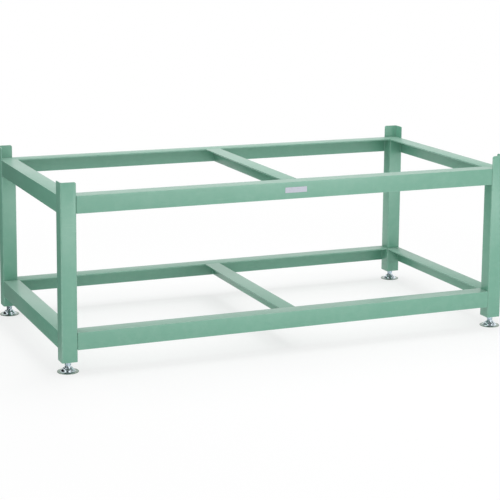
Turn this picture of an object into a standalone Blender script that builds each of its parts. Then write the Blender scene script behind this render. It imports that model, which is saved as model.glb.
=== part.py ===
# Surface plate stand: an angle-steel frame on square-tube legs with levelling feet.
# Lengths are in metres. X runs along the long side, Y from front to back, and Z up from the floor.
import math

import bmesh
import bpy
from mathutils import Matrix

# The whole stand, over the outer faces of its legs
WIDTH = 1.845
DEPTH = 0.930
TOP_FRAME_TOP = 0.655
LOWER_FRAME_TOP = 0.150
STOP_HEIGHT = 0.051
LEG_BOTTOM = 0.041

# Square tube of the legs
LEG_SIZE = 0.060
LEG_WALL = 0.004
LEG_BORE_CORNER = 0.002
STOP_TOE_RADIUS = 0.010
STOP_GRINDING = 0.0003

# Equal-leg angle steel of the rails and cross bars
ANGLE_SIZE = 0.065
ANGLE_THICKNESS = 0.006
ANGLE_ROOT_RADIUS = 0.0085
ANGLE_TOE_RADIUS = 0.004
RAIL_RECESS = 0.001
COPE_LIP = 0.0005

# End plate and nut at the bottom of each leg
END_PLATE_THICKNESS = 0.009
NUT_ACROSS_FLATS = 0.036
NUT_HEIGHT = 0.019

# Threaded stud of a foot, with the spherical head that the pad swivels on
THREAD_RADIUS = 0.012
THREAD_CLEARANCE = 0.0003
STUD_LENGTH = 0.102
STUD_CHAMFER = 0.0015
NECK_RADIUS = 0.011
NECK_TOP = 0.022
GROOVE_RADIUS = 0.010
GROOVE_WIDTH = 0.0015
HEAD_RADIUS = 0.014
HEAD_CENTRE = 0.0075

# Foot pad and the base disc pressed into its underside
PAD_RADIUS = 0.040
PAD_RIM = 0.0025
PAD_EDGE_RADIUS = 0.0008
DOME_HEIGHT = 0.0185
DOME_TOP_RADIUS = 0.0165
DOME_BASE_RADIUS = 0.026
DOME_BASE_HEIGHT = 0.005
FLARE_RADIUS = 0.032
FLARE_HEIGHT = 0.0032
SWIVEL_CLEARANCE = 0.0012
LIP_DEPTH = 0.0015
DISC_RADIUS = 0.020
DISC_THICKNESS = 0.003

# Name plate on the front top rail
PLATE_WIDTH = 0.090
PLATE_HEIGHT = 0.021
PLATE_THICKNESS = 0.0005
PLATE_CORNER_RADIUS = 0.0015
PLATE_DROP = 0.0305

# Gap between touching pieces, overrun of a cut past its piece, and merge distance of meshes
GAP = 0.0003
OVERRUN = 0.010
MERGE = 0.00001

# Steps in a full turn of a turned piece, and in each rounded stretch of an outline. Edges where
# faces meet at more than the crease angle, in degrees, look sharp.
TURN_STEPS = 24
CORNER_STEPS = 4
TOE_STEPS = 6
HEAD_STEPS = 6
CREASE_ANGLE = 30

# Corners and sides, each a quarter turn on from the last, with where they are along X and Y
CORNERS = (("front_left", -1, -1), ("front_right", 1, -1), ("back_right", 1, 1), ("back_left", -1, 1))
SIDES = (("front", 0, -1), ("right", 1, 0), ("back", 0, 1), ("left", -1, 0))

# Base colour, roughness and metallic value of each finish
FINISHES = {
    "green_paint": ((0.16, 0.36, 0.27, 1), 0.45, 0),
    "bright_plating": ((0.70, 0.72, 0.72, 1), 0.22, 1),
    "bare_steel": ((0.32, 0.32, 0.33, 1), 0.5, 1),
    "pale_label": ((0.75, 0.74, 0.82, 1), 0.4, 0),
}


def clear_scene():
    for old in list(bpy.data.objects):
        bpy.data.objects.remove(old, do_unlink=True)


def new_collection(name):
    collection = bpy.data.collections.new(name)
    bpy.context.scene.collection.children.link(collection)
    return collection


clear_scene()
stand = new_collection("surface_plate_stand")
cutters = new_collection("surface_plate_stand_cutters")


def add_piece(name, mesh, finish, location, rotation=(0, 0, 0)):
    piece = bpy.data.objects.new(name, mesh)
    stand.objects.link(piece)
    piece.location = location
    piece.rotation_euler = [math.radians(angle) for angle in rotation]
    colour, roughness, metallic = FINISHES[finish]
    material = bpy.data.materials.new(f"{name}_{finish}")
    material.use_nodes = True
    shader = material.node_tree.nodes["Principled BSDF"]
    shader.inputs["Base Color"].default_value = colour
    shader.inputs["Roughness"].default_value = roughness
    shader.inputs["Metallic"].default_value = metallic
    if not mesh.materials:
        mesh.materials.append(None)
    piece.material_slots[0].link = "OBJECT"
    piece.material_slots[0].material = material
    return piece


# Cuts a mesh, placed in the piece's own axes, out of the piece
def cut(piece, name, mesh, location=(0, 0, 0), rotation=(0, 0, 0)):
    mesh.shade_flat()
    cutter = bpy.data.objects.new(f"{piece.name}_{name}", mesh)
    cutters.objects.link(cutter)
    cutter.parent = piece
    cutter.location = location
    cutter.rotation_euler = [math.radians(angle) for angle in rotation]
    cutter.hide_render = True
    cutter.display_type = "WIRE"
    boolean = piece.modifiers.new(name, "BOOLEAN")
    boolean.operation = "DIFFERENCE"
    boolean.solver = "EXACT"
    boolean.object = cutter


def arc(centre, radius, start, end, steps):
    angles = [math.radians(start + (end - start) * step / steps) for step in range(steps + 1)]
    return [(centre[0] + radius * math.cos(a), centre[1] + radius * math.sin(a)) for a in angles]


def rounded_rectangle(width, height, radius):
    across, up = width / 2 - radius, height / 2 - radius
    outline = []
    for x, y, start in ((across, up, 0), (-across, up, 90), (-across, -up, 180), (across, -up, 270)):
        outline += arc((x, y), radius, start, start + 90, CORNER_STEPS)
    return outline


def circle(radius):
    return arc((0, 0), radius, 0, 360, TURN_STEPS)[:-1]


# Replaces a curve, or an object with modifiers, with one clean mesh in its own axes
def as_mesh(source, welded):
    stand.objects.link(source)
    evaluated = source.evaluated_get(bpy.context.evaluated_depsgraph_get())
    mesh = bpy.data.meshes.new_from_object(evaluated)
    mesh.name = source.name
    bpy.data.objects.remove(source)
    if welded:
        shape = bmesh.new()
        shape.from_mesh(mesh)
        bmesh.ops.remove_doubles(shape, verts=shape.verts, dist=MERGE)
        bmesh.ops.recalc_face_normals(shape, faces=shape.faces)
        shape.to_mesh(mesh)
        shape.free()
    mesh.shade_smooth()
    mesh.set_sharp_from_angle(angle=math.radians(CREASE_ANGLE))
    return mesh


# A flat shape between closed outlines, the later ones being its holes, centred on its thickness
def extruded(name, outlines, thickness):
    curve = bpy.data.curves.new(name, "CURVE")
    curve.dimensions = "2D"
    curve.fill_mode = "BOTH"
    curve.extrude = thickness / 2
    for outline in outlines:
        spline = curve.splines.new("POLY")
        spline.points.add(len(outline) - 1)
        for point, (x, y) in zip(spline.points, outline):
            point.co = (x, y, 0, 1)
        spline.use_cyclic_u = True
    return as_mesh(bpy.data.objects.new(name, curve), True)


def box(name, low, high):
    mesh = bpy.data.meshes.new(name)
    shape = bmesh.new()
    bmesh.ops.create_cube(shape, size=1)
    size = [b - a for a, b in zip(low, high)]
    middle = [(a + b) / 2 for a, b in zip(low, high)]
    bmesh.ops.scale(shape, vec=size, verts=shape.verts)
    bmesh.ops.translate(shape, vec=middle, verts=shape.verts)
    shape.to_mesh(mesh)
    shape.free()
    return mesh


# A shape turned about Z from a profile of radius and height, which runs from the top down its
# outer side. A ring's profile closes on itself, and any other begins and ends on the axis.
def turned(name, profile, ring=False):
    edges = [(step, step + 1) for step in range(len(profile) - 1)]
    if ring:
        edges.append((len(profile) - 1, 0))
    mesh = bpy.data.meshes.new(name)
    mesh.from_pydata([(radius, 0, height) for radius, height in profile], edges, [])
    piece = bpy.data.objects.new(name, mesh)
    screw = piece.modifiers.new("turn", "SCREW")
    screw.steps = TURN_STEPS
    screw.render_steps = TURN_STEPS
    screw.use_merge_vertices = True
    screw.merge_threshold = MERGE
    return as_mesh(piece, False)


# Legs. A leg's own axes have their origin at its middle on its bottom face, and its outer corner
# is at minus X and minus Y, so each next corner's leg is the same piece a quarter turn on.
leg_top = TOP_FRAME_TOP + STOP_HEIGHT - LEG_BOTTOM
inner_wall_top = TOP_FRAME_TOP - ANGLE_THICKNESS - COPE_LIP - GAP - LEG_BOTTOM
leg_outline = rounded_rectangle(LEG_SIZE, LEG_SIZE, LEG_BORE_CORNER + LEG_WALL)
bore_size = LEG_SIZE - 2 * LEG_WALL
bore_outline = rounded_rectangle(bore_size, bore_size, LEG_BORE_CORNER)


# What a stop's rounded toe leaves of its wall's upper corner, as seen square to the wall
def toe_waste():
    end = LEG_SIZE / 2
    toe = arc((end - STOP_TOE_RADIUS, leg_top - STOP_TOE_RADIUS), STOP_TOE_RADIUS, 0, 90, TOE_STEPS)
    outside = [
        (end - STOP_TOE_RADIUS, leg_top + OVERRUN),
        (end + OVERRUN, leg_top + OVERRUN),
        (end + OVERRUN, leg_top - STOP_TOE_RADIUS),
    ]
    return extruded("toe_waste", [toe + outside], LEG_WALL + 2 * OVERRUN)


def leg_mesh():
    mesh = extruded("leg", [leg_outline, bore_outline], leg_top)
    mesh.transform(Matrix.Translation((0, 0, leg_top / 2)))
    return mesh


def make_leg(name, mesh, location, turns):
    leg = add_piece(name, mesh, "green_paint", location, (0, 0, 90 * turns))
    stop_face = LEG_WALL - STOP_GRINDING - LEG_SIZE / 2
    beyond = LEG_SIZE / 2 + OVERRUN
    low = (stop_face, stop_face, inner_wall_top)
    cut(leg, "inner_walls", box("inner_walls", low, (beyond, beyond, leg_top + OVERRUN)))
    wall_middle = (LEG_WALL - LEG_SIZE) / 2
    cut(leg, "front_toe", toe_waste(), (0, wall_middle, 0), (90, 0, 0))
    cut(leg, "side_toe", toe_waste(), (wall_middle, 0, 0), (90, 0, 90))
    return leg


# Rails and cross bars. Their own axes run inward along X, up along Y and along the bar in Z, from
# the middle of the outer top edge. The outline is an angle with a root fillet and rounded toes.
def angle_outline():
    size, thick = ANGLE_SIZE, ANGLE_THICKNESS
    toe, root = ANGLE_TOE_RADIUS, ANGLE_ROOT_RADIUS
    outline = [(0, 0), (size, 0)]
    outline += arc((size - toe, toe - thick), toe, 0, -90, CORNER_STEPS)
    outline += arc((thick + root, -thick - root), root, 90, 180, CORNER_STEPS)
    outline += arc((thick - toe, toe - size), toe, 0, -90, CORNER_STEPS)
    outline += [(0, -size)]
    return outline


# Removes, at one end of a rail, what is in the way of a leg that takes up its outer part to a
# given reach, and what is beyond the mitre with the next rail
def corner_waste(rail, side_length, reach):
    leg_face, far = -RAIL_RECESS, ANGLE_SIZE + OVERRUN
    side_end = side_length / 2
    leg_end = side_end - LEG_SIZE - GAP
    mitre_end = side_end - GAP / math.sqrt(2)
    outline = [
        (leg_face - OVERRUN, leg_end),
        (leg_face + reach, leg_end),
        (leg_face + reach, mitre_end - reach),
        (far, mitre_end - (far - leg_face)),
        (far, side_end + OVERRUN),
        (leg_face - OVERRUN, side_end + OVERRUN),
    ]
    waste = extruded("corner_waste", [outline], ANGLE_SIZE + 2 * OVERRUN)
    cut(rail, "corner", waste, (0, -ANGLE_SIZE / 2, 0), (90, 0, 0))


def make_bar(name, length, location, turns):
    mesh = extruded("bar", [angle_outline()], length)
    return add_piece(name, mesh, "green_paint", location, (90, 0, 90 + 90 * turns))


def mirror_end(bar):
    mirror = bar.modifiers.new("other_end", "MIRROR")
    mirror.use_axis = (False, False, True)
    mirror.use_bisect_axis = (False, False, True)
    mirror.merge_threshold = MERGE


# Rails of one frame. In the top frame the flat flange lies over the legs' cut inner walls, and
# only the stop's outer walls are in its way. In the lower frame the whole leg passes through.
def make_rails(frame_name, top, under_stops):
    for turns, (side, along_x, along_y) in enumerate(SIDES):
        side_length = DEPTH if along_x else WIDTH
        location = (
            along_x * (WIDTH / 2 - RAIL_RECESS),
            along_y * (DEPTH / 2 - RAIL_RECESS),
            top,
        )
        rail = make_bar(f"{frame_name}_rail_{side}", side_length, location, turns)
        corner_waste(rail, side_length, (LEG_WALL if under_stops else LEG_SIZE) + GAP)
        if under_stops:
            low = (
                -RAIL_RECESS - OVERRUN,
                -ANGLE_SIZE - OVERRUN,
                side_length / 2 - LEG_SIZE - GAP,
            )
            high = (
                LEG_SIZE - RAIL_RECESS,
                -ANGLE_THICKNESS - COPE_LIP,
                side_length / 2 + OVERRUN,
            )
            cut(rail, "upright_flange", box("upright_flange", low, high))
        mirror_end(rail)


# Cross bar at the middle of the length, its upright flange on the right. Its flat flange ends at
# the rails' flat flanges, and its upright flange runs on under them to their upright flanges, with
# its upper corner snipped off to clear the rail's root fillet.
def make_cross_bar(name, top):
    upright_end = DEPTH / 2 - RAIL_RECESS - ANGLE_THICKNESS - GAP
    flat_end = DEPTH / 2 - RAIL_RECESS - ANGLE_SIZE - GAP
    snipe_start = upright_end - ANGLE_ROOT_RADIUS - GAP
    under_flange = -ANGLE_THICKNESS - GAP
    bar = make_bar(name, 2 * upright_end, (ANGLE_SIZE / 2, 0, top), 1)
    beyond = upright_end + OVERRUN
    outline = [
        (flat_end, OVERRUN),
        (flat_end, under_flange),
        (snipe_start, under_flange),
        (beyond, under_flange - (beyond - snipe_start)),
        (beyond, OVERRUN),
    ]
    waste = extruded("end_waste", [outline], ANGLE_SIZE + 2 * OVERRUN)
    cut(bar, "end", waste, (ANGLE_SIZE / 2, 0, 0), (0, -90, 0))
    mirror_end(bar)


# End plate inside the bottom of a leg, flush with its end, and the nut welded on top of it
thread_hole = circle(THREAD_RADIUS + THREAD_CLEARANCE)
end_plate_middle = LEG_BOTTOM + END_PLATE_THICKNESS / 2
nut_middle = LEG_BOTTOM + END_PLATE_THICKNESS + GAP + NUT_HEIGHT / 2


def end_plate_mesh():
    size = bore_size - 2 * GAP
    outlines = [rounded_rectangle(size, size, LEG_BORE_CORNER - GAP), thread_hole]
    return extruded("leg_end_plate", outlines, END_PLATE_THICKNESS)


def nut_mesh():
    hexagon = arc((0, 0), NUT_ACROSS_FLATS / math.sqrt(3), 0, 360, 6)[:-1]
    return extruded("foot_nut", [hexagon, thread_hole], NUT_HEIGHT)


# Foot. The stud, pad and base disc have their origin on the foot's axis at the floor, which is
# the axis that the stud turns about and the pad slides along.
head_bottom = DISC_THICKNESS + GAP
socket_radius = HEAD_RADIUS + GAP
mouth_radius = NECK_RADIUS + GAP


# Angles above the level plane, seen from the head's middle, where a sphere round it has a given
# height above the floor, or a given distance from the foot's axis
def angle_at_height(sphere_radius, height):
    return math.degrees(math.asin((height - HEAD_CENTRE) / sphere_radius))


def angle_at_distance(sphere_radius, distance):
    return math.degrees(math.acos(distance / sphere_radius))


def stud_profile():
    top = head_bottom + STUD_LENGTH
    thread_start = NECK_TOP + GROOVE_WIDTH
    shoulder = THREAD_RADIUS - GROOVE_RADIUS
    neck_angle = angle_at_distance(HEAD_RADIUS, NECK_RADIUS)
    bottom_angle = angle_at_height(HEAD_RADIUS, head_bottom)
    profile = [
        (0, top),
        (THREAD_RADIUS - STUD_CHAMFER, top),
        (THREAD_RADIUS, top - STUD_CHAMFER),
        (THREAD_RADIUS, thread_start + shoulder),
        (GROOVE_RADIUS, thread_start),
        (GROOVE_RADIUS, NECK_TOP),
        (NECK_RADIUS, NECK_TOP - (NECK_RADIUS - GROOVE_RADIUS)),
    ]
    profile += arc((0, HEAD_CENTRE), HEAD_RADIUS, neck_angle, bottom_angle, HEAD_STEPS)
    profile += [(0, head_bottom)]
    return profile


def pad_profile():
    mouth_angle = angle_at_distance(socket_radius, mouth_radius)
    seat_angle = angle_at_height(socket_radius, head_bottom)
    recess_radius = DISC_RADIUS + GAP
    edge = PAD_EDGE_RADIUS
    profile = [
        (mouth_radius + SWIVEL_CLEARANCE, DOME_HEIGHT),
        (DOME_TOP_RADIUS - LIP_DEPTH, DOME_HEIGHT),
        (DOME_TOP_RADIUS, DOME_HEIGHT - LIP_DEPTH),
    ]
    # The dome swells down to its base on a quarter of an ellipse
    swell, drop = DOME_BASE_RADIUS - DOME_TOP_RADIUS, DOME_HEIGHT - LIP_DEPTH - DOME_BASE_HEIGHT
    profile += [
        (DOME_TOP_RADIUS + swell * x, DOME_BASE_HEIGHT + drop * y)
        for x, y in arc((0, 0), 1, 90, 0, CORNER_STEPS)[1:]
    ]
    profile += [(FLARE_RADIUS, FLARE_HEIGHT)]
    profile += arc((PAD_RADIUS - edge, PAD_RIM - edge), edge, 90, 0, 2)
    profile += [(PAD_RADIUS, 0), (recess_radius, 0), (recess_radius, head_bottom)]
    profile += arc((0, HEAD_CENTRE), socket_radius, seat_angle, mouth_angle, HEAD_STEPS)
    return profile


def base_disc_profile():
    return [(0, DISC_THICKNESS), (DISC_RADIUS, DISC_THICKNESS), (DISC_RADIUS, 0), (0, 0)]


# The pieces that each corner has, with one mesh for all four copies
def make_corners():
    leg = leg_mesh()
    end_plate = end_plate_mesh()
    nut = nut_mesh()
    stud = turned("foot_stud", stud_profile())
    pad = turned("foot_pad", pad_profile(), ring=True)
    base_disc = turned("foot_base_disc", base_disc_profile())
    for turns, (corner, x_side, y_side) in enumerate(CORNERS):
        x = x_side * (WIDTH - LEG_SIZE) / 2
        y = y_side * (DEPTH - LEG_SIZE) / 2
        make_leg(f"leg_{corner}", leg, (x, y, LEG_BOTTOM), turns)
        add_piece(f"leg_end_plate_{corner}", end_plate, "bare_steel", (x, y, end_plate_middle))
        add_piece(f"foot_nut_{corner}", nut, "bare_steel", (x, y, nut_middle))
        add_piece(f"foot_stud_{corner}", stud, "bright_plating", (x, y, 0))
        add_piece(f"foot_pad_{corner}", pad, "bright_plating", (x, y, 0))
        add_piece(f"foot_base_disc_{corner}", base_disc, "bare_steel", (x, y, 0))


def make_name_plate():
    outline = rounded_rectangle(PLATE_WIDTH, PLATE_HEIGHT, PLATE_CORNER_RADIUS)
    mesh = extruded("name_plate", [outline], PLATE_THICKNESS)
    front = -DEPTH / 2 + RAIL_RECESS - GAP - PLATE_THICKNESS / 2
    middle = (0, front, TOP_FRAME_TOP - PLATE_DROP)
    add_piece("name_plate", mesh, "pale_label", middle, (90, 0, 0))


make_corners()
make_rails("top", TOP_FRAME_TOP, True)
make_rails("lower", LOWER_FRAME_TOP, False)
make_cross_bar("top_cross_bar", TOP_FRAME_TOP)
make_cross_bar("lower_cross_bar", LOWER_FRAME_TOP)
make_name_plate()
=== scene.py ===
import math

import bmesh
import bpy
from mathutils import Euler, Matrix, Vector


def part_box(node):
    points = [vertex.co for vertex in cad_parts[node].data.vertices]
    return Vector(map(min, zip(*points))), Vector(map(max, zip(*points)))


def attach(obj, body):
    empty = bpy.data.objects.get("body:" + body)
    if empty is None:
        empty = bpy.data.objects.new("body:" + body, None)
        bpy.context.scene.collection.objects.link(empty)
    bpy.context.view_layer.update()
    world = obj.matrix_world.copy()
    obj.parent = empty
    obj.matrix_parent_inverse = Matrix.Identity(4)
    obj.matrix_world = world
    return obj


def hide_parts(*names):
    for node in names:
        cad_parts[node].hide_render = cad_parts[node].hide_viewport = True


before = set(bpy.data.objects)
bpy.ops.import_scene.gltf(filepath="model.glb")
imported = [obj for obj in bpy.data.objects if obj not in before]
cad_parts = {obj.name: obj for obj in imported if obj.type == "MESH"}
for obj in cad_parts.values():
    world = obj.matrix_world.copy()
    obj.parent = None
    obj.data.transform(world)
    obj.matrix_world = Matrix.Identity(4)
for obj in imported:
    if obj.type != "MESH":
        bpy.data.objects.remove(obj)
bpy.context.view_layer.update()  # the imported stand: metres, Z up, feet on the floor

print("frame loaded:", len(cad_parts), "nodes")


# One socket of a node tree. Python's operators on it add maths nodes, and node() adds any other
# node: its settings are set first, then the values or links of its sockets.
class Sock:
    def __init__(self, tree, socket=None):
        self.tree, self.socket = tree, socket

    def node(self, kind, settings=None, values=None, output=0):
        made = self.tree.nodes.new(kind)
        for name, value in (settings or {}).items():
            if name == "choices":
                while len(made.index_switch_items) < value:
                    made.index_switch_items.new()
            else:
                setattr(made, name, value)
        for key, value in (values or {}).items():
            target = pick(made.inputs, key)
            for each in value if isinstance(value, list) else [value]:
                if isinstance(each, Sock):
                    self.tree.links.new(each.socket, target)
                else:
                    target.default_value = each
        return Sock(self.tree, pick(made.outputs, output) if made.outputs else None)

    def out(self, name):
        return Sock(self.tree, pick(self.socket.node.outputs, name))

    def maths(self, operation, *parts):
        return self.node("ShaderNodeMath", {"operation": operation}, dict(enumerate(parts)))

    def __add__(self, other):
        return self.maths("ADD", self, other)

    def __radd__(self, other):
        return self.maths("ADD", other, self)

    def __sub__(self, other):
        return self.maths("SUBTRACT", self, other)

    def __rsub__(self, other):
        return self.maths("SUBTRACT", other, self)

    def __mul__(self, other):
        return self.maths("MULTIPLY", self, other)

    def __rmul__(self, other):
        return self.maths("MULTIPLY", other, self)

    def __truediv__(self, other):
        return self.maths("DIVIDE", self, other)

    def __rtruediv__(self, other):
        return self.maths("DIVIDE", other, self)

    def __neg__(self):
        return self.maths("MULTIPLY", self, -1)

    def __abs__(self):
        return self.maths("ABSOLUTE", self)


def pick(sockets, key):
    if isinstance(key, int):
        return sockets[key]
    return next(s for s in sockets if key in (s.identifier, s.name) and s.enabled)


def smallest(first, second):
    return first.maths("MINIMUM", first, second)


def largest(first, second):
    return first.maths("MAXIMUM", first, second)


def root(value):
    return value.maths("SQRT", value)


def fraction(value):
    return value.maths("FRACT", value)


def between(value, low, high):  # 0 at low, 1 at high, smooth in between
    sizes = {"From Min": low, "From Max": high}
    settings = {"interpolation_type": "SMOOTHSTEP"}
    return value.node("ShaderNodeMapRange", settings, {"Value": value, **sizes})


def newMaterial(name, shaderValues):
    material = bpy.data.materials.new(name)
    material.use_nodes = True
    tree = material.node_tree
    tree.nodes.clear()
    start = Sock(tree)
    shader = start.node("ShaderNodeBsdfPrincipled", None, shaderValues(start))
    start.node("ShaderNodeOutputMaterial", None, {"Surface": shader})
    return material


# In the looks below a pattern is given as its scale, its detail and, where that isn't 0.5, its
# roughness. A range says where a pattern starts to show and where it shows in full.
def noise(start, where, scale, detail=2.0, roughness=0.5):
    sizes = {"Vector": where, "Scale": scale, "Detail": detail, "Roughness": roughness}
    return start.node("ShaderNodeTexNoise", None, sizes, "Fac")


def objectPlace(start, stretch=(1, 1, 1)):
    place = start.node("ShaderNodeTexCoord", None, None, "Object")
    return start.node("ShaderNodeMapping", None, {"Vector": place, "Scale": stretch})


# A point's place in the piece's own axes, as finished() keeps it
def ownPlace(start):
    return start.node("ShaderNodeAttribute", {"attribute_name": "own"}, None, "Vector")


def mixColour(start, factor, first, second):
    values = {"Factor_Float": factor, "A_Color": first, "B_Color": second}
    return start.node("ShaderNodeMix", {"data_type": "RGBA"}, values, "Result_Color")


def bump(start, height, strength, distance, under=None):
    values = {"Height": height, "Strength": strength, "Distance": distance}
    if under:
        values["Normal"] = under
    return start.node("ShaderNodeBump", None, values, "Normal")


paintLook = {
    "colour": (0.152, 0.374, 0.270, 1),
    "thinCoatAndHighlight": (0.265, 0.470, 0.375, 1),  # where the coat runs thin, where it is rubbed, and as a painted highlight along the edges
    "deep": (0.112, 0.325, 0.222, 1),  # where it gathers
    "dustAndSheen": (0.560, 0.620, 0.590, 1),
    "dustAndSheenShare": 0.24,  # dust, and partly a painted sheen, on faces that look straight up
    "roughness": 0.27,
    "gloss": 0.75,
    "clouds": (3.5, 3),
    "cloudRange": (0.3, 0.7),
    "cloudShare": 0.3,
    "mottle": (38.0, 3),
    "mottleRange": (0.35, 0.75),
    "mottleShare": 0.15,
    "mottleHeight": 0.6,  # against the peel's
    "peel": (380.0, 2, 0.45),  # dimples a metre
    "peelStrength": 0.6,
    "peelDepth": 0.00022,
    "grit": (1900.0, 1),
    "scuffs": 0.55,
    "scuffShare": 0.45,
    "scuffDepth": 0.4,  # against the peel's height
    "patches": (5.0, 2),  # where the scuffs are
    "patchRange": (0.52, 0.66),
    "hairs": (14.0, 2),
    "hairStretch": 26,  # how many times longer than wide
    "lengthwiseRange": (0.64, 0.68),
    "crosswiseRange": (0.65, 0.69),
    # the edge band: lighter from a thinner coat and chips, and partly a painted highlight
    "wearAndHighlightWidth": 0.0016,
    "wearAndHighlightSpread": (0.4, 1.6),  # shares of that width over which an edge's wear and painted highlight fade
    "thinEdgeAndHighlightShare": 0.25,
    "chips": (60.0, 4, 0.6),
    "chipRange": (0.35, 0.65),
    "chipShare": 0.35,
    # where the pale dust and painted sheen show on faces that look up, and how unevenly
    "upwardRange": (0.75, 0.98),
    "dustAndSheenPattern": (24.0, 4, 0.6),
    "dustAndSheenLeast": 0.6,
    "dustAndSheenSpread": 0.8,
    "ripples": (260.0, 2),
    "rippleStrength": 0.5,
    "rougher": {
        "clouds": 0.12, "mottle": 0.08, "grit": 0.05, "scuffs": 0.16, "edges": -0.05, "dustAndSheen": 0.05,
    },
}


# Satin enamel. edgeDistance says how far a point is from the nearest sharp edge, from its place
# in the piece's own axes.
def paint(name, edgeDistance=None, ripple=0.0):
    look, rougher = paintLook, paintLook["rougher"]

    def values(start):
        place = objectPlace(start)
        clouds = noise(start, place, *look["clouds"])
        mottle = noise(start, place, *look["mottle"])
        gathered = between(clouds, *look["cloudRange"]) * look["cloudShare"]
        colour = mixColour(start, gathered, look["colour"], look["deep"])
        thinned = between(mottle, *look["mottleRange"]) * look["mottleShare"]
        colour = mixColour(start, thinned, colour, look["thinCoatAndHighlight"])
        peel = noise(start, place, *look["peel"])
        grit = noise(start, place, *look["grit"])
        rough = look["roughness"] + (clouds - 0.5) * rougher["clouds"]
        rough = rough + mottle * rougher["mottle"] + grit * rougher["grit"]

        # hairline scuffs, in patches where things have been slid along the steel
        patches = between(noise(start, place, *look["patches"]), *look["patchRange"])
        narrow = look["hairStretch"]
        lengthwise = noise(start, objectPlace(start, (1, narrow, narrow)), *look["hairs"])
        crosswise = noise(start, objectPlace(start, (narrow, 1, narrow)), *look["hairs"])
        lengthwise = between(lengthwise, *look["lengthwiseRange"])
        crosswise = between(crosswise, *look["crosswiseRange"])
        scuff = largest(lengthwise, crosswise) * patches * look["scuffs"]
        colour = mixColour(start, scuff * look["scuffShare"], colour, look["thinCoatAndHighlight"])
        rough = rough + scuff * rougher["scuffs"]

        # Every edge turns lighter: a thinner coat and chips, and partly a painted highlight along
        # the edge
        if edgeDistance:
            own = ownPlace(start)
            parts = own.node("ShaderNodeSeparateXYZ", None, {"Vector": own})
            away = edgeDistance(parts.out("X"), parts.out("Y"), parts.out("Z"))
            edge = 1 - between(away, *(look["wearAndHighlightWidth"] * share for share in look["wearAndHighlightSpread"]))
            chips = between(noise(start, place, *look["chips"]), *look["chipRange"])
            wornAndHighlit = edge * (look["thinEdgeAndHighlightShare"] + chips * look["chipShare"])
            colour = mixColour(start, wornAndHighlit, colour, look["thinCoatAndHighlight"])
            rough = rough + edge * rougher["edges"]

        # Faces that look up turn paler: settled dust, and partly a painted sheen
        facing = start.node("ShaderNodeNewGeometry", None, None, "Normal")
        upward = facing.node("ShaderNodeSeparateXYZ", None, {"Vector": facing}).out("Z")
        upward = between(upward, *look["upwardRange"])
        uneven = look["dustAndSheenSpread"] * noise(start, place, *look["dustAndSheenPattern"])
        settledDustAndSheen = upward * (look["dustAndSheenLeast"] + uneven)
        colour = mixColour(start, settledDustAndSheen * look["dustAndSheenShare"], colour, look["dustAndSheen"])
        rough = rough + settledDustAndSheen * rougher["dustAndSheen"]

        height = peel + mottle * look["mottleHeight"] - scuff * look["scuffDepth"]
        normal = bump(start, height, look["peelStrength"], look["peelDepth"])
        if ripple:
            waves = noise(start, place, *look["ripples"])
            normal = bump(start, waves, look["rippleStrength"], ripple, normal)
        gloss = {"Specular IOR Level": look["gloss"]}
        return {"Base Color": colour, "Roughness": rough, "Normal": normal, **gloss}

    return newMaterial(name, values)


platingLook = {
    "colour": (0.74, 0.84, 0.90, 1),
    "dull": (0.48, 0.56, 0.57, 1),
    "rim": (0.32, 0.405, 0.35, 1),  # the flat rim: duller, as it left the press, and darker and greener as a painted reflection
    "rimAndReflectionCover": 0.85,
    "rimAndReflectionFilm": 0.3,
    "roughness": 0.11,
    "turnMarks": 5200.0,  # radians of lathe mark a metre of radius
    "waver": (90.0, 2),
    "waverReach": 1.5,  # radians
    "spots": (420.0, 3, 0.6),
    "spotRange": (0.45, 0.8),
    "film": (55.0, 3),
    "filmRange": (0.4, 0.75),
    "filmShare": 0.5,
    "bumpStrength": 0.25,
    "bumpDepth": 0.00002,
    "rougher": {"spots": 0.12, "film": 0.08, "rim": 0.12},
}


# Bright plating over turned steel, with faint lathe marks round the foot's own axis
def plating(name):
    look, rougher = platingLook, platingLook["rougher"]

    def values(start):
        own = ownPlace(start)
        parts = own.node("ShaderNodeSeparateXYZ", None, {"Vector": own})
        x, y, z = parts.out("X"), parts.out("Y"), parts.out("Z")
        radius = root(x * x + y * y)
        waver = noise(start, own, *look["waver"]) * look["waverReach"]
        marks = start.maths("SINE", (radius + z) * look["turnMarks"] + waver)
        spots = noise(start, own, *look["spots"])
        film = noise(start, own, *look["film"])
        dulled = between(film, *look["filmRange"]) * look["filmShare"]
        colour = mixColour(start, dulled, look["colour"], look["dull"])
        # The flat rim is darker and greener: a duller finish, and partly a painted reflection
        dullRimAndReflection = between(radius, foot["domeBase"], foot["flare"])
        dullRimAndReflection = dullRimAndReflection * (look["rimAndReflectionCover"] + film * look["rimAndReflectionFilm"])
        colour = mixColour(start, dullRimAndReflection, colour, look["rim"])
        rough = look["roughness"] + between(spots, *look["spotRange"]) * rougher["spots"]
        rough = rough + film * rougher["film"] + dullRimAndReflection * rougher["rim"]
        height = marks * 0.5 + spots * 0.5
        normal = bump(start, height, look["bumpStrength"], look["bumpDepth"])
        return {"Base Color": colour, "Metallic": 1.0, "Roughness": rough, "Normal": normal}

    return newMaterial(name, values)


steelLook = {
    "colour": (0.36, 0.36, 0.37, 1),
    "dark": (0.20, 0.19, 0.185, 1),
    "roughness": 0.42,
    "lines": (140.0, 3),
    "stains": (70.0, 4, 0.6),
    "stainRange": (0.45, 0.75),
    "stainShare": 0.7,
    "bumpStrength": 0.3,
    "bumpDepth": 0.00003,
    "rougher": {"lines": 0.12, "stains": 0.1},
}


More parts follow.
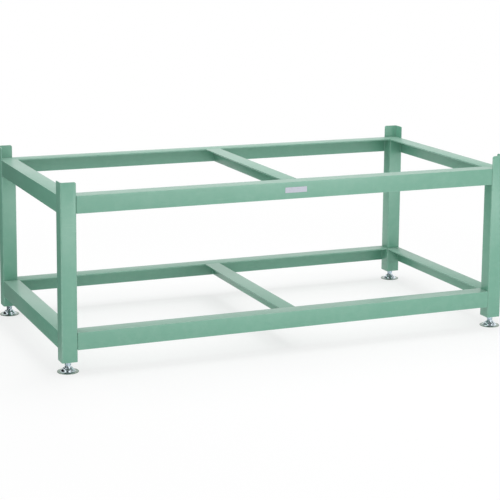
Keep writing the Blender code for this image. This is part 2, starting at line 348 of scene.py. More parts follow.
# Bare machined steel: fine parallel tool marks and a little oil staining
def bareSteel(name, stretch):
    look, rougher = steelLook, steelLook["rougher"]

    def values(start):
        lines = noise(start, objectPlace(start, stretch), *look["lines"])
        stains = noise(start, objectPlace(start), *look["stains"])
        stained = between(stains, *look["stainRange"]) * look["stainShare"]
        colour = mixColour(start, stained, look["colour"], look["dark"])
        rough = look["roughness"] + lines * rougher["lines"] + stains * rougher["stains"]
        normal = bump(start, lines, look["bumpStrength"], look["bumpDepth"])
        return {"Base Color": colour, "Metallic": 1.0, "Roughness": rough, "Normal": normal}

    return newMaterial(name, values)


labelLook = {
    "colour": (0.50, 0.52, 0.60, 1),
    "aged": (0.43, 0.45, 0.505, 1),
    "roughness": 0.34,
    "soil": (120.0, 3, 0.6),
    "soilRange": (0.4, 0.8),
    "soilShare": 0.6,
    "lines": (900.0, 1),
    "lineStretch": (1, 1, 4),
    "bumpStrength": 0.15,
    "bumpDepth": 0.00002,
    "rougher": {"soil": 0.12},
}


# Plain name plate: satin lacquer over pale metal, slightly soiled
def labelFinish(name):
    look = labelLook

    def values(start):
        place = objectPlace(start, look["lineStretch"])
        soil = noise(start, objectPlace(start), *look["soil"])
        lines = noise(start, place, *look["lines"])
        soiled = between(soil, *look["soilRange"]) * look["soilShare"]
        colour = mixColour(start, soiled, look["colour"], look["aged"])
        rough = look["roughness"] + soil * look["rougher"]["soil"]
        normal = bump(start, lines, look["bumpStrength"], look["bumpDepth"])
        return {"Base Color": colour, "Roughness": rough, "Normal": normal}

    return newMaterial(name, values)


def newObject(name, data):
    made = bpy.data.objects.new(name, data)
    bpy.context.scene.collection.objects.link(made)
    return made


def bake(holder):  # the object's mesh with its modifiers done, and the object gone
    evaluated = holder.evaluated_get(bpy.context.evaluated_depsgraph_get())
    mesh = bpy.data.meshes.new_from_object(evaluated)
    bpy.data.objects.remove(holder)
    return mesh


# A geometry tree with named inputs. Its last nodes realize instances and set the finish.
def shapeTree(name, inputs, build):
    tree = bpy.data.node_groups.new(name, "GeometryNodeTree")
    tree.interface.new_socket("Geometry", in_out="INPUT", socket_type="NodeSocketGeometry")
    tree.interface.new_socket("Geometry", in_out="OUTPUT", socket_type="NodeSocketGeometry")
    for each in inputs:
        tree.interface.new_socket(each, in_out="INPUT", socket_type="NodeSocketFloat")
    tree.interface.new_socket("Finish", in_out="INPUT", socket_type="NodeSocketMaterial")
    start = Sock(tree)
    given = start.node("NodeGroupInput")
    shape = build(given, {each: given.out(each) for each in inputs})
    whole = start.node("GeometryNodeRealizeInstances", None, {"Geometry": shape})
    values = {"Geometry": whole, "Material": given.out("Finish")}
    coated = start.node("GeometryNodeSetMaterial", None, values)
    start.node("NodeGroupOutput", None, {"Geometry": coated})
    return tree


def grow(name, tree, sizes, finish, base=None):
    holder = newObject(name, base or bpy.data.meshes.new(name))
    modifier = holder.modifiers.new(tree.name, "NODES")
    modifier.node_group = tree
    given = {**sizes, "Finish": finish}
    for item in tree.interface.items_tree:
        if item.in_out == "INPUT" and item.name in given:
            modifier[item.identifier] = given[item.name]
    mesh = bake(holder)
    mesh.name = name
    return mesh


def softenEdges(mesh, width):
    holder = newObject(mesh.name, mesh)
    bevel = holder.modifiers.new("edges", "BEVEL")
    bevel.width, bevel.segments = width, 2
    bevel.limit_method, bevel.angle_limit = "ANGLE", math.radians(40)
    bevel.use_clamp_overlap = True
    return bake(holder)


def clean(mesh, distance=0.00001):
    shape = bmesh.new()
    shape.from_mesh(mesh)
    bmesh.ops.remove_doubles(shape, verts=shape.verts, dist=distance)
    bmesh.ops.recalc_face_normals(shape, faces=shape.faces)
    shape.to_mesh(mesh)
    shape.free()


# Smooth where it curves, flat where it is flat, and its own coordinates kept before it is placed
def finished(name, mesh, matrix, body, slot, *replaced, crease=32):
    own = mesh.attributes.new("own", "FLOAT_VECTOR", "POINT")
    places = [0.0] * (3 * len(mesh.vertices))
    mesh.vertices.foreach_get("co", places)
    own.data.foreach_set("vector", places)
    mesh.shade_smooth()
    mesh.set_sharp_from_angle(angle=math.radians(crease))
    mesh.transform(matrix)
    mesh.name = name
    piece = newObject(name, mesh)
    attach(piece, body)
    if replaced:
        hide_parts(*replaced)


def placed(location, turn=(0, 0, 0)):
    angles = Euler([math.radians(a) for a in turn])
    return Matrix.Translation(location) @ angles.to_matrix().to_4x4()


def vector(start, x, y, z):
    return start.node("ShaderNodeCombineXYZ", None, {"X": x, "Y": y, "Z": z})


def moved(shape, by, turn=(0, 0, 0)):
    angles = tuple(math.radians(a) for a in turn)
    values = {"Geometry": shape, "Translation": by, "Rotation": angles}
    return shape.node("GeometryNodeTransform", None, values)


def block(start, low, high):
    size = vector(start, *[b - a for a, b in zip(low, high)])
    middle = vector(start, *[(a + b) * 0.5 for a, b in zip(low, high)])
    return moved(start.node("GeometryNodeMeshCube", None, {"Size": size}, "Mesh"), middle)


# A block behind a sloping face through a point, on the side that the turned Z axis points to
def beyond(start, point, turn, size=0.4):
    cube = start.node("GeometryNodeMeshCube", None, {"Size": (size, size, size)}, "Mesh")
    return moved(moved(cube, (0, 0, size / 2)), point, turn)


def without(shape, cutters):
    settings = {"operation": "DIFFERENCE", "solver": "EXACT"}
    values = {"Mesh 1": shape, "Mesh 2": cutters}
    return shape.node("GeometryNodeMeshBoolean", settings, values, "Mesh")


def alongZ(start, outline, low, high):
    ends = {"Start": vector(start, 0.0, 0.0, low), "End": vector(start, 0.0, 0.0, high)}
    line = start.node("GeometryNodeCurvePrimitiveLine", None, ends)
    values = {"Curve": line, "Profile Curve": outline, "Fill Caps": True}
    return start.node("GeometryNodeCurveToMesh", None, values)


def rounded(outline, radius, count):
    values = {"Curve": outline, "Radius": radius, "Count": count, "Limit Radius": True}
    return outline.node("GeometryNodeFilletCurve", {"mode": "POLY"}, values)


# A closed outline through given points, each with its own corner radius
def roundedOutline(start, points, radii, count):
    line = start.node("GeometryNodeCurvePrimitiveLine")
    values = {"Curve": line, "Count": len(points)}
    line = start.node("GeometryNodeResampleCurve", {"mode": "COUNT"}, values)
    line = start.node("GeometryNodeSetSplineCyclic", None, {"Geometry": line, "Cyclic": True})
    index = start.node("GeometryNodeInputIndex")
    places = {str(n): vector(start, x, y, 0.0) for n, (x, y) in enumerate(points)}
    settings = {"data_type": "VECTOR", "choices": len(points)}
    where = start.node("GeometryNodeIndexSwitch", settings, {"Index": index, **places})
    line = start.node("GeometryNodeSetPosition", None, {"Geometry": line, "Position": where})
    corner = {str(n): radius for n, radius in enumerate(radii)}
    settings = {"data_type": "FLOAT", "choices": len(points)}
    radius = start.node("GeometryNodeIndexSwitch", settings, {"Index": index, **corner})
    return rounded(line, radius, count)


stand = {
    "width": 1.845,  # over the outer faces of the legs
    "depth": 0.930,
    "topFrame": 0.655,
    "lowerFrame": 0.150,
    "gap": 0.0003,
    "recess": 0.001,  # how far the rails' outer faces stand back from the legs'
    "lip": 0.0005,  # left under a rail's flange where its upright is cut away
    "legSize": 0.060,
    "legWall": 0.004,
    "railSoftening": 0.0006,
    "legSoftening": 0.0008,
}
levels = (("top", stand["topFrame"]), ("lower", stand["lowerFrame"]))
sides = (("front", 0, -1), ("right", 1, 0), ("back", 0, 1), ("left", -1, 0))
corners = (
    ("front_left", -1, -1),
    ("front_right", 1, -1),
    ("back_right", 1, 1),
    ("back_left", -1, 1),
)
over = 0.01  # how far a cut runs past what it cuts

angleSteel = {
    "Size": 0.065,
    "Thickness": 0.006,
    "Heel radius": 0.0012,
    "Edge radius": 0.0008,
    "Toe radius": 0.004,
    "Root radius": 0.0085,
}


def angleShape(start, given):
    size, thick = given["Size"], given["Thickness"]
    points = [
        (0.0, 0.0), (size, 0.0), (size, -thick), (thick, -thick), (thick, -size), (0.0, -size),
    ]
    heel, edge, toe, inner = (given[f"{k} radius"] for k in ("Heel", "Edge", "Toe", "Root"))
    half = given["Length"] * 0.5
    outline = roundedOutline(start, points, (heel, edge, toe, inner, toe, edge), count=5)
    return alongZ(start, outline, -half, half)


# A rail's ends are notched for the leg and mitred against the next rail. reach is how much of the
# rail's outer part the leg takes up.
def railShape(start, given):
    shape, cutters = angleShape(start, given), []
    size, thick, leg, gap = (given[k] for k in ("Size", "Thickness", "Leg size", "Gap"))
    recess, reach, half = given["Recess"], given["Reach"], given["Length"] * 0.5
    legEnd, mitreEnd = half - leg - gap, half - gap * math.sqrt(0.5)
    for end in (1, -1):
        def span(low, high):
            return (low, high) if end > 0 else (-high, -low)

        a, b = span(legEnd, half + over)
        cutters.append(block(start, (-recess - over, -size - over, a), (reach - recess, over, b)))
        cutters.append(block(
            start,
            (-recess - over, -size - over, a),
            (given["Upright cut"] - recess, -thick - given["Lip"], b),
        ))
        point = vector(start, -recess, 0.0, mitreEnd * end)
        cutters.append(beyond(start, point, (0, 45 if end > 0 else 135, 0)))
    return without(shape, cutters)


# A cross bar's flat flange stops short of the rails' and its upright flange runs on under them
def crossShape(start, given):
    shape, cutters = angleShape(start, given), []
    size, thick, gap, half = given["Size"], given["Thickness"], given["Gap"], given["Length"] * 0.5
    flatEnd, snipe = given["Flat end"], half - given["Root radius"] - gap
    for end in (1, -1):
        low, high = (flatEnd, half + over) if end > 0 else (-half - over, -flatEnd)
        cutters.append(block(start, (-over, -thick - gap, low), (size + over, over, high)))
        point = vector(start, size * 0.5, -thick - gap, snipe * end)
        cutters.append(beyond(start, point, (-45 if end > 0 else -135, 0, 0), size=0.1))
    return without(shape, cutters)


def railEdges(x, y, z):
    size = angleSteel["Size"]
    toes = smallest(abs(size - x), abs(size + y))
    return smallest(root(x * x + y * y), toes)


def makeRails(finish):
    names = [*angleSteel, "Length", "Gap", "Leg size", "Recess", "Reach", "Upright cut", "Lip"]
    tree = shapeTree("mitred angle rail", names, railShape)
    for level, top in levels:
        underStops = level == "top"
        for turns, (side, alongX, alongY) in enumerate(sides):
            sizes = {
                **angleSteel,
                "Length": stand["depth"] if alongX else stand["width"],
                "Gap": stand["gap"],
                "Leg size": stand["legSize"],
                "Recess": stand["recess"],
                "Reach": (stand["legWall"] if underStops else stand["legSize"]) + stand["gap"],
                "Upright cut": stand["legSize"] if underStops else 0.0,
                "Lip": stand["lip"],
            }
            name = f"{level}_rail_{side}"
            mesh = softenEdges(grow(name, tree, sizes, finish), stand["railSoftening"])
            x = alongX * (stand["width"] / 2 - stand["recess"])
            y = alongY * (stand["depth"] / 2 - stand["recess"])
            matrix = placed((x, y, top), (90, 0, 90 + 90 * turns))
            finished(f"fine_{name}", mesh, matrix, "frame", "green_paint", name)


def makeCrossBars(finish):
    names = [*angleSteel, "Length", "Gap", "Flat end"]
    tree = shapeTree("notched cross bar", names, crossShape)
    inside = stand["depth"] / 2 - stand["recess"] - stand["gap"]
    sizes = {
        **angleSteel,
        "Length": 2 * (inside - angleSteel["Thickness"]),
        "Gap": stand["gap"],
        "Flat end": inside - angleSteel["Size"],
    }
    for level, top in levels:
        name = f"{level}_cross_bar"
        mesh = softenEdges(grow(name, tree, sizes, finish), stand["railSoftening"])
        matrix = placed((angleSteel["Size"] / 2, 0, top), (90, 0, 180))
        finished(f"fine_{name}", mesh, matrix, "frame", "green_paint", name)


legSteel = {
    "Size": stand["legSize"],
    "Wall": stand["legWall"],
    "Outer corner": 0.006,
    "Inner corner": 0.005,
    "Height": 0.665,  # from the leg's bottom to the top of its stop
    "Inner wall top": 0.6072,
    "Toe radius": 0.010,
    "Grinding": 0.0003,
}
legBottom = 0.041


def squareOutline(start, size, corner):
    values = {"Width": size, "Height": size}
    square = start.node("GeometryNodeCurvePrimitiveQuadrilateral", None, values)
    return rounded(square, corner, count=8)


def legShape(start, given):
    size, wall, height, toe = (given[k] for k in ("Size", "Wall", "Height", "Toe radius"))
    inner = given["Inner corner"]
    tube = alongZ(start, squareOutline(start, size, given["Outer corner"]), 0.0, height)
    bore = alongZ(start, squareOutline(start, size - wall * 2, inner), -over, height + over)
    end, stopFace = size * 0.5, wall - given["Grinding"] - size * 0.5
    room = end + over - stopFace  # the plate's corner stands in here, between the two walls left
    seat = alongZ(start, squareOutline(start, room, inner), given["Inner wall top"], height + over)
    cutters = [bore, moved(seat, vector(start, stopFace + room * 0.5, stopFace + room * 0.5, 0.0))]
    for turn in (0, 1):  # the rounded toes of the front wall and of the side wall
        low = [end - toe, -end - over, height - toe]
        high = [end + over, stopFace + over, height + over]
        middle = [end - toe, -end, height - toe]
        values = {"Vertices": 64, "Radius": toe, "Depth": wall * 6}
        toeRound = start.node("GeometryNodeMeshCylinder", None, values, "Mesh")
        if turn:
            low[0], low[1], high[0], high[1] = low[1], low[0], high[1], high[0]
            middle[0], middle[1] = middle[1], middle[0]
        toeRound = moved(toeRound, vector(start, *middle), (0, 90, 0) if turn else (90, 0, 0))
        cutters.append(without(block(start, low, high), [toeRound]))
    return without(tube, cutters)


def legEdges(x, y, z):
    half = legSteel["Size"] / 2
    across, along = half - abs(x), half - abs(y)
    corner = root(across * across + along * along)
    ends = smallest(abs(z), abs(legSteel["Height"] - z))
    rounding = 0.0025  # from where a square corner would be to the middle of the rounded one
    return smallest(corner - rounding, ends)


def legCentre(xSide, ySide):
    x = xSide * (stand["width"] - stand["legSize"]) / 2
    y = ySide * (stand["depth"] - stand["legSize"]) / 2
    return x, y


def makeLegs(finish):
    tree = shapeTree("tube leg with stop", list(legSteel), legShape)
    for turns, (corner, xSide, ySide) in enumerate(corners):
        name = f"leg_{corner}"
        mesh = softenEdges(grow(name, tree, legSteel, finish), stand["legSoftening"])
        matrix = placed((*legCentre(xSide, ySide), legBottom), (0, 0, 90 * turns))
        finished(f"fine_{name}", mesh, matrix, "frame", "green_paint", name)


# The first are the bead tree's inputs, the others its fixed numbers
weld = {"Radius": 0.0036, "Ripple": 0.0019, "Ripple depth": 0.16, "Waver": 0.0007, "Seed": 4.0}
bead = {
    "rippleSteps": 4.0,
    "taper": 1.3,  # length of a tapered end, in radii
    "tip": 0.08,  # share of the radius left at the very end
    "wobble": 0.35,
    "wobbleScale": 180.0,
    "driftScale": 90.0,
    "driftSeed": 9.0,  # added to the seed
    "sides": 12,
    "shortOfToe": 0.002,  # how far a bead stops before the end of an upright flange
    "shortOfEdge": 0.003,  # and before the cross bar's edge
    "crease": 70,
}


# A bead along every edge of a mesh of straight lines, its ripples like a row of laid coins
def beadShape(start, given):
    seeded = {"noise_dimensions": "4D"}
    lines = start.node("GeometryNodeMeshToCurve", None, {"Mesh": start.out("Geometry")})
    values = {"Curve": lines, "Length": given["Ripple"] / bead["rippleSteps"]}
    lines = start.node("GeometryNodeResampleCurve", {"mode": "LENGTH"}, values)
    along = start.node("GeometryNodeSplineParameter").out("Length")
    total = start.node("GeometryNodeSplineLength").out("Length")
    fromEnd = smallest(along, total - along) / (given["Radius"] * bead["taper"])
    toEnd = 1 - smallest(fromEnd, 1.0)
    taper = root(1 - toEnd * toEnd)
    saw = fraction(along / given["Ripple"])
    place = start.node("GeometryNodeInputPosition")
    values = {"Vector": place, "W": given["Seed"], "Scale": bead["wobbleScale"]}
    wobble = start.node("ShaderNodeTexNoise", seeded, values, "Fac")
    swell = 1 - given["Ripple depth"] * saw + (wobble - 0.5) * bead["wobble"]
    radius = given["Radius"] * swell * (taper * (1 - bead["tip"]) + bead["tip"])
    seed = given["Seed"] + bead["driftSeed"]
    values = {"Vector": place, "W": seed, "Scale": bead["driftScale"]}
    drift = start.node("ShaderNodeTexNoise", seeded, values, "Color")
    values = {0: drift, 1: (0.5, 0.5, 0.5)}
    centred = start.node("ShaderNodeVectorMath", {"operation": "SUBTRACT"}, values)
    values = {0: centred, "Scale": given["Waver"]}
    shift = start.node("ShaderNodeVectorMath", {"operation": "SCALE"}, values)
    lines = start.node("GeometryNodeSetPosition", None, {"Geometry": lines, "Offset": shift})
    lines = start.node("GeometryNodeSetCurveRadius", None, {"Curve": lines, "Radius": radius})
    values = {"Resolution": bead["sides"], "Radius": 1.0}
    ring = start.node("GeometryNodeCurvePrimitiveCircle", {"mode": "RADIUS"}, values)
    reach = start.node("GeometryNodeInputRadius")
    values = {"Curve": lines, "Profile Curve": ring, "Fill Caps": True, "Scale": reach}
    return start.node("GeometryNodeCurveToMesh", None, values)


# The joints that carry a bead, as pairs of end points, for a frame whose flanges' tops are at top
def weldLines(top):
    size, thick, inner = (angleSteel[k] for k in ("Size", "Thickness", "Root radius"))
    halfX, halfY = stand["width"] / 2, stand["depth"] / 2
    faceX, faceY = halfX - stand["recess"] - thick, halfY - stand["recess"] - thick
    legX, legY = halfX - stand["legSize"], halfY - stand["legSize"]
    under = top - thick
    upper, lower, lines = under - inner, top - size + bead["shortOfToe"], []
    for x in (-1, 1):
        for y in (-1, 1):
            for place in ((x * legX, y * faceY), (x * faceX, y * legY)):
                lines.append(((*place, upper), (*place, lower)))
            corner = (x * legX, y * legY, under)
            lines.append(((x * legX, y * (faceY - inner), under), corner))
            lines.append(((x * (faceX - inner), y * legY, under), corner))
    flatEnd = halfY - stand["recess"] - size
    left, right = -size / 2 + bead["shortOfEdge"], size / 2 - thick - inner
    for y in (-1, 1):
        for x in (size / 2 - thick, size / 2):
            lines.append(((x, y * faceY, upper), (x, y * faceY, lower)))
        lines.append(((left, y * flatEnd, under), (right, y * flatEnd, under)))
    return lines


def makeWelds(finish):
    lines = weldLines(stand["topFrame"]) + weldLines(stand["lowerFrame"])
    base = bpy.data.meshes.new("weld lines")
    points = [p for line in lines for p in line]
    base.from_pydata(points, [(2 * n, 2 * n + 1) for n in range(len(lines))], [])
    tree = shapeTree("weld bead", list(weld), beadShape)
    mesh = grow("frame_welds", tree, weld, finish, base)
    still = Matrix.Identity(4)
    finished("frame_welds", mesh, still, "frame", "green_paint", crease=bead["crease"])


foot = {
    "turnSteps": 96,
    "turn": 83,  # degrees from one foot to the next, so that no two look alike
    "padRadius": 0.040,
    "rim": 0.0025,
    "rimEdge": 0.0008,
    "smallEdge": 0.0004,  # the pad's mouth and its lower edge
    "domeHeight": 0.0185,
    "domeTop": 0.0168,
    "domeTopEdge": 0.0018,
    "domeShoulder": 0.0028,  # how far below the dome's height its side begins
    "domeBase": 0.0264,
    "domeBaseHeight": 0.0046,
    "domeSwell": 0.0011,
    "domeSteps": 14,
    "flare": 0.0312,
    "flareCurve": 2.2,
    "flareSteps": 8,
    "socket": 0.0143,
    "socketHeight": 0.0075,
    "mouth": 0.0125,
    "discRadius": 0.0203,
    "discTop": 0.0033,
    "headRadius": 0.014,
    "neckRadius": 0.011,
    "neckTop": 0.022,
    "neckEdge": (0.0003, 0.0007),  # inward and down
    "neckShoulder": 0.0012,
    "grooveRadius": 0.010,
    "grooveTop": 0.0235,
    "grooveShoulder": (0.0006, 0.0012),  # inward and up
    "shankStart": 0.002,  # above the groove
    "tipFlat": 0.0018,
    "tipChamfer": 0.0009,
    "threadRows": 10,  # a turn
    "flank": (0.2, 0.88),  # shares of the way from root to crest
    "lead": (0.4, 0.1),  # pitches below the top where the thread starts to fade and is gone
    "skin": 0.97,  # share of the radius past which a point lies on the shank
    "studCrease": 50,
}
thread = {"Radius": 0.012, "Depth": 0.00175, "Pitch": 0.003, "Bottom": 0.0262, "Top": 0.1053}


def arc(centre, radius, start, end, steps):
    angles = [math.radians(start + (end - start) * n / steps) for n in range(steps + 1)]
    across, up = centre
    return [(across + radius * math.cos(a), up + radius * math.sin(a)) for a in angles]


# A profile of radius and height turned about Z
def turned(name, profile, ring):
    edges = [(n, n + 1) for n in range(len(profile) - 1)]
    if ring:
        edges.append((len(profile) - 1, 0))
    mesh = bpy.data.meshes.new(name)
    mesh.from_pydata([(r, 0, z) for r, z in profile], edges, [])
    holder = newObject(name, mesh)
    screw = holder.modifiers.new("turn", "SCREW")
    screw.steps = screw.render_steps = foot["turnSteps"]
    mesh = bake(holder)
    clean(mesh)
    return mesh


def padProfile():
    f = foot
    height, top, base, baseHeight = (
        f[k] for k in ("domeHeight", "domeTop", "domeBase", "domeBaseHeight")
    )
    topEdge, small, rimEdge = f["domeTopEdge"], f["smallEdge"], f["rimEdge"]
    mouthAngle = math.degrees(math.acos(f["mouth"] / f["socket"]))
    seatAngle = math.degrees(math.asin((f["discTop"] - f["socketHeight"]) / f["socket"]))
    profile = [(f["mouth"], height - small), (f["mouth"] + small, height)]
    profile += arc((top - topEdge, height - topEdge), topEdge, 90, 35, steps=6)
    drop = height - f["domeShoulder"] - baseHeight
    for n in range(1, f["domeSteps"] + 1):  # the dome's slightly swelling side
        share = n / f["domeSteps"]
        bulge = f["domeSwell"] * math.sin(math.pi * share)
        radius = top + (base - top) * share + bulge
        profile.append((radius, baseHeight + drop * (1 - share) + bulge * 0.5))
    for n in range(1, f["flareSteps"] + 1):  # the hollow flare where the dome meets the rim
        share = n / f["flareSteps"]
        up = f["rim"] + (baseHeight - f["rim"]) * (1 - share) ** f["flareCurve"]
        profile.append((base + (f["flare"] - base) * share, up))
    profile += arc((f["padRadius"] - rimEdge, f["rim"] - rimEdge), rimEdge, 90, 0, steps=6)
    profile += arc((f["padRadius"] - small, small), small, 0, -90, steps=3)
    profile += [(f["discRadius"], 0), (f["discRadius"], f["discTop"])]
    profile += arc((0, f["socketHeight"]), f["socket"], seatAngle, mouthAngle, steps=14)
    return profile


def studProfile():
    f, t = foot, thread
    neckAngle = math.degrees(math.acos(f["neckRadius"] / f["headRadius"]))
    bottomAngle = math.degrees(math.asin((f["discTop"] - f["socketHeight"]) / f["headRadius"]))
    length = t["Top"] - f["grooveTop"] - f["shankStart"]
    rows = round(length / (t["Pitch"] / f["threadRows"]))
    step, shankBottom = length / rows, f["grooveTop"] + f["shankStart"]
    shoulderIn, shoulderUp = f["grooveShoulder"]
    neckIn, neckDown = f["neckEdge"]
    profile = [
        (0, t["Top"]),
        (t["Radius"] - f["tipFlat"], t["Top"]),
        (t["Radius"] - f["tipChamfer"], t["Top"] - f["tipChamfer"]),
    ]
    profile += [(t["Radius"], shankBottom + step * (rows - n)) for n in range(1, rows + 1)]
    profile += [
        (t["Radius"] - shoulderIn, f["grooveTop"] + shoulderUp),
        (f["grooveRadius"], f["grooveTop"]),
        (f["grooveRadius"], f["neckTop"]),
        (f["neckRadius"] - neckIn, f["neckTop"] - neckDown),
        (f["neckRadius"], f["neckTop"] - f["neckShoulder"]),
    ]
    profile += arc((0, f["socketHeight"]), f["headRadius"], neckAngle, bottomAngle, steps=14)
    return profile + [(0, f["discTop"])]


# A right-hand thread cut into the round shank of a stud that stands on the tree's Z axis
def threadShape(start, given):
    place = start.node("GeometryNodeInputPosition")
    parts = start.node("ShaderNodeSeparateXYZ", None, {"Vector": place})
    x, y, z = parts.out("X"), parts.out("Y"), parts.out("Z")
    around = start.maths("ARCTAN2", y, x) / (2 * math.pi)
    phase = z / given["Pitch"] - around
    ridge = abs(fraction(phase) * 2 - 1)  # 1 at the crest's middle, 0 in the root
    low, high = foot["flank"]
    values = {"Value": ridge, "From Min": low, "From Max": high}
    flank = start.node("ShaderNodeMapRange", None, values)
    runOut = between(z, given["Bottom"] - given["Pitch"], given["Bottom"])
    lead = 1 - between(z, *(given["Top"] - given["Pitch"] * share for share in foot["lead"]))
    skin = given["Radius"] * foot["skin"]
    onShank = start.maths("GREATER_THAN", root(x * x + y * y), skin)
    inward = given["Depth"] * (1 - flank) * runOut * lead * onShank / given["Radius"]
    offset = vector(start, -(x * inward), -(y * inward), 0.0)
    values = {"Geometry": start.out("Geometry"), "Offset": offset}
    return start.node("GeometryNodeSetPosition", None, values)


def makeFeet(finish):
    tree = shapeTree("screw thread", list(thread), threadShape)
    for turns, (corner, xSide, ySide) in enumerate(corners):
        matrix = placed((*legCentre(xSide, ySide), 0), (0, 0, foot["turn"] * turns))
        pad = turned("pad", padProfile(), ring=True)
        pad.materials.append(finish)
        name = f"foot_pad_{corner}"
        finished(f"fine_{name}", pad, matrix, f"pad_{corner}", "bright_plating", name)
        stud = grow("stud", tree, thread, finish, turned("stud", studProfile(), ring=False))
        name, body = f"foot_stud_{corner}", f"stud_{corner}"
        crease = foot["studCrease"]
        finished(f"fine_{name}", stud, matrix, body, "bright_plating", name, crease=crease)


namePlate = {
    "width": 0.090,
    "height": 0.021,
    "thickness": 0.0005,
    "corner": 0.0015,
    "bevel": 0.00015,
    "middle": 0.6245,  # above the floor
}


def makeNamePlate(finish):
    curve = bpy.data.curves.new("name plate", "CURVE")
    curve.dimensions, curve.fill_mode = "2D", "BOTH"
    bevel = namePlate["bevel"]
    curve.extrude, curve.bevel_depth = namePlate["thickness"] / 2 - bevel, bevel
    curve.offset, curve.bevel_resolution = -bevel, 2
    spline = curve.splines.new("POLY")
    across, up = (namePlate[k] / 2 - namePlate["corner"] for k in ("width", "height"))
    centres, points = ((across, up), (-across, up), (-across, -up), (across, -up)), []
    for number, centre in enumerate(centres):
        start = 90 * number
        points += arc(centre, namePlate["corner"], start, start + 90, steps=6)
    spline.points.add(len(points) - 1)
    for point, (x, y) in zip(spline.points, points):
        point.co = (x, y, 0, 1)
    spline.use_cyclic_u = True
    mesh = bake(newObject("name plate", curve))
    clean(mesh, distance=0.000001)
    mesh.materials.clear()
    mesh.materials.append(finish)
    low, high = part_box("name_plate")
    matrix = placed((0, (low.y + high.y) / 2, namePlate["middle"]), (90, 0, 0))
    finished("fine_name_plate", mesh, matrix, "frame", "pale_label", "name_plate")


# A range without a unit is part of a direction 1 long, such as how far up or to the left it points
stage = {
    "floor": 16.0,
    "floorColour": (0.86, 0.86, 0.86, 1),
    "ownLight": 0.66,  # share of plain white in the floor near the stand, where its shadow falls
    "fadeStart": 1.0,  # from here on out the floor runs into the white behind it
    "fadeEnd": 2.6,
    "ambient": 0.35,  # from the sides
    "ambientTop": 0.95,  # from straight above
    "ambientLeft": 0.36,  # how much more comes from the left than from ahead
    "overhead": 0.22,  # what shiny parts see above them, against 1 at the horizon
    "overheadRange": (0.28, 0.62),
    # how much darker they see what is behind on the left, as if a black cloth hung there
    "leftShade": 1.0,
    "leftRange": (0.05, 0.45),
    "backRange": (-0.3, 0.2),
    "floorLeftRange": (0.2, 1.2),  # metres, for the same cloth in the floor
    "floorBackRange": (-0.6, -0.1),
    "frontShade": 0.92,  # and the room behind the camera
    "behindRange": (0.45, 0.70),
    "behindHeight": (0.08, 0.25),
    "window": 1.15,  # the bright windows on both sides
    "windowAcross": (0.26, 0.44, 0.56, 0.78),  # where they begin, are full, fade and end
    "windowHeight": (0.35, 0.50, 0.80, 0.92),
    "aimHeight": 0.35,  # what the lamps point at
    "lights": (
        # place, width, height, power
        ((-1.0, -4.2, 3.0), 1.6, 1.6, 5.0),
        ((1.0, -3.8, 0.45), 4.4, 0.8, 38.0),
        ((0.3, 0.4, 3.6), 2.4, 2.4, 56.0),
    ),
}

camera = {
    "place": (-2.3890, -5.6681, 1.6660),
    "yaw": -22.9035,
    "pitch": 9.7829,
    "roll": 0.5142,
    "focal": 1535.53,  # in pixels of the picture
    "picture": 500,  # pixels across
    "sensor": 36,
    "shift": -0.15,
    "reach": 60,
}


# Which rays look at the background: the camera's own, and those that a reflection or glass sends
def rays(start):
    path = start.node("ShaderNodeLightPath")
    sent = largest(path.out("Is Glossy Ray"), path.out("Is Transmission Ray"))
    return path.out("Is Camera Ray"), sent


def makeFloor():
    half = stage["floor"] / 2
    mesh = bpy.data.meshes.new("floor")
    square = [(-half, -half, 0), (half, -half, 0), (half, half, 0), (-half, half, 0)]
    mesh.from_pydata(square, [], [(0, 1, 2, 3)])
    floor = newObject("floor", mesh)
    material = bpy.data.materials.new("pale floor")
    material.use_nodes = True
    material.node_tree.nodes.clear()
    start = Sock(material.node_tree)
    place = start.node("ShaderNodeTexCoord", None, None, "Object")
    away = start.node("ShaderNodeVectorMath", {"operation": "LENGTH"}, {0: place}, "Value")
    fade = between(away, stage["fadeStart"], stage["fadeEnd"])
    own = stage["ownLight"] + fade * (1 - stage["ownLight"])
    lit = start.node("ShaderNodeBsdfDiffuse", None, {"Color": stage["floorColour"]})
    direct, reflected = rays(start)
    spot = start.node("ShaderNodeSeparateXYZ", None, {"Vector": place})
    leftward = between(-spot.out("X"), *stage["floorLeftRange"])
    backward = between(spot.out("Y"), *stage["floorBackRange"])
    shaded = leftward * backward * stage["leftShade"]
    white = start.node("ShaderNodeEmission", None, {"Strength": 1 - reflected * shaded})
    under = start.node("ShaderNodeNewGeometry", None, None, "Backfacing")
    plain = direct * own + reflected * largest(own, shaded)
    surface = start.node("ShaderNodeMixShader", None, {0: plain, 1: lit, 2: white})
    clear = start.node("ShaderNodeBsdfTransparent")
    surface = start.node("ShaderNodeMixShader", None, {0: under, 1: surface, 2: clear})
    start.node("ShaderNodeOutputMaterial", None, {"Surface": surface})
    mesh.materials.append(material)


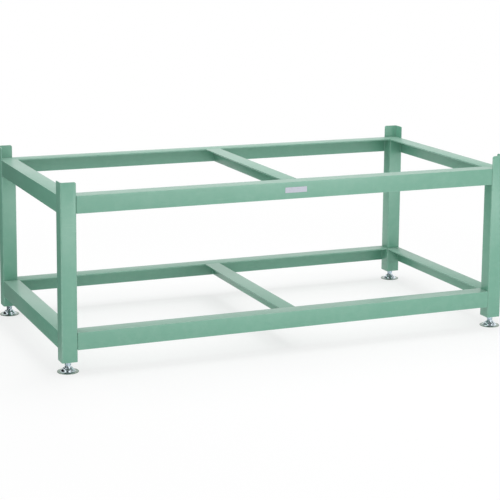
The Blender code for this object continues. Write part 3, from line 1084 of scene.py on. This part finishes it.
def makeLight():
    world = bpy.context.scene.world or bpy.data.worlds.new("studio")
    bpy.context.scene.world = world
    world.use_nodes = True
    world.node_tree.nodes.clear()
    start = Sock(world.node_tree)
    towards = start.node("ShaderNodeTexCoord", None, None, "Generated")
    towards = start.node("ShaderNodeSeparateXYZ", None, {"Vector": towards})
    height = towards.out("Z")
    leftward = largest(-towards.out("X"), 0.0)
    yaw = math.radians(camera["yaw"])
    across = towards.out("X") * math.cos(yaw) + towards.out("Y") * math.sin(yaw)
    behindCamera = towards.out("X") * math.sin(yaw) - towards.out("Y") * math.cos(yaw)
    begin, full, fading, end = stage["windowAcross"]
    windows = between(abs(across), begin, full) * (1 - between(abs(across), fading, end))
    begin, full, fading, end = stage["windowHeight"]
    windows = windows * between(height, begin, full) * (1 - between(height, fading, end))
    mirrored = 1 - between(height, *stage["overheadRange"]) * (1 - stage["overhead"])
    room = between(behindCamera, *stage["behindRange"]) * between(height, *stage["behindHeight"])
    mirrored = mirrored * (1 - room * stage["frontShade"])
    backLeft = between(leftward, *stage["leftRange"])
    backLeft = backLeft * between(towards.out("Y"), *stage["backRange"])
    mirrored = mirrored * (1 - backLeft * stage["leftShade"])
    mirrored = largest(mirrored, windows * stage["window"])
    ambient = stage["ambient"] + largest(height, 0.0) * (stage["ambientTop"] - stage["ambient"])
    ambient = ambient + leftward * stage["ambientLeft"]
    direct, reflected = rays(start)
    strength = direct + reflected * mirrored + (1 - direct - reflected) * ambient
    sky = start.node("ShaderNodeBackground", None, {"Color": (1, 1, 1, 1), "Strength": strength})
    start.node("ShaderNodeOutputWorld", None, {"Surface": sky})
    for number, (place, wide, tall, power) in enumerate(stage["lights"]):
        light = bpy.data.lights.new(f"soft light {number + 1}", "AREA")
        light.shape, light.size, light.size_y, light.energy = "RECTANGLE", wide, tall, power
        lamp = newObject(light.name, light)
        lamp.location = place
        aim = Vector((0, 0, stage["aimHeight"])) - lamp.location
        lamp.rotation_euler = aim.to_track_quat("-Z", "Y").to_euler()
        lamp.visible_camera = False


def makeCamera():
    yaw, pitch, roll = (math.radians(camera[k]) for k in ("yaw", "pitch", "roll"))
    level = math.cos(pitch)
    forward = Vector((-math.sin(yaw) * level, math.cos(yaw) * level, -math.sin(pitch)))
    right = Vector((math.cos(yaw), math.sin(yaw), 0))
    up = right.cross(forward)
    across = right * math.cos(roll) + up * math.sin(roll)
    upward = up * math.cos(roll) - right * math.sin(roll)
    data = bpy.data.cameras.new("camera")
    data.sensor_width = camera["sensor"]
    data.lens = camera["focal"] / camera["picture"] * data.sensor_width
    data.shift_y = camera["shift"]
    data.clip_end = camera["reach"]
    eye = newObject("camera", data)
    turn = Matrix((across, upward, -forward)).transposed().to_4x4()
    eye.matrix_world = Matrix.Translation(camera["place"]) @ turn
    bpy.context.scene.camera = eye


makeFloor()
makeLight()
makeCamera()
bpy.context.scene.view_settings.view_transform = "Standard"
print("stage, light and camera ready")

railPaint = paint("green enamel on angle steel", railEdges)
legPaint = paint("green enamel on tube", legEdges)
weldPaint = paint("green enamel over weld", ripple=0.0003)
bright = plating("bright plating")
makeRails(railPaint)
makeCrossBars(railPaint)
print("rails and cross bars made")
makeLegs(legPaint)
print("legs made")
makeWelds(weldPaint)
print("welds made")
makeFeet(bright)
print("feet made")
makeNamePlate(labelFinish("plain pale plate"))

plateSteel = bareSteel("milled steel", stretch=(1, 8, 1))
nutSteel = bareSteel("turned steel", stretch=(1, 1, 6))
for name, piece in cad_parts.items():
    if name.startswith(("leg_end_plate", "foot_nut", "foot_base_disc")):
        piece.material_slots[0].material = nutSteel if name.startswith("foot_nut") else plateSteel
print("finishes given")
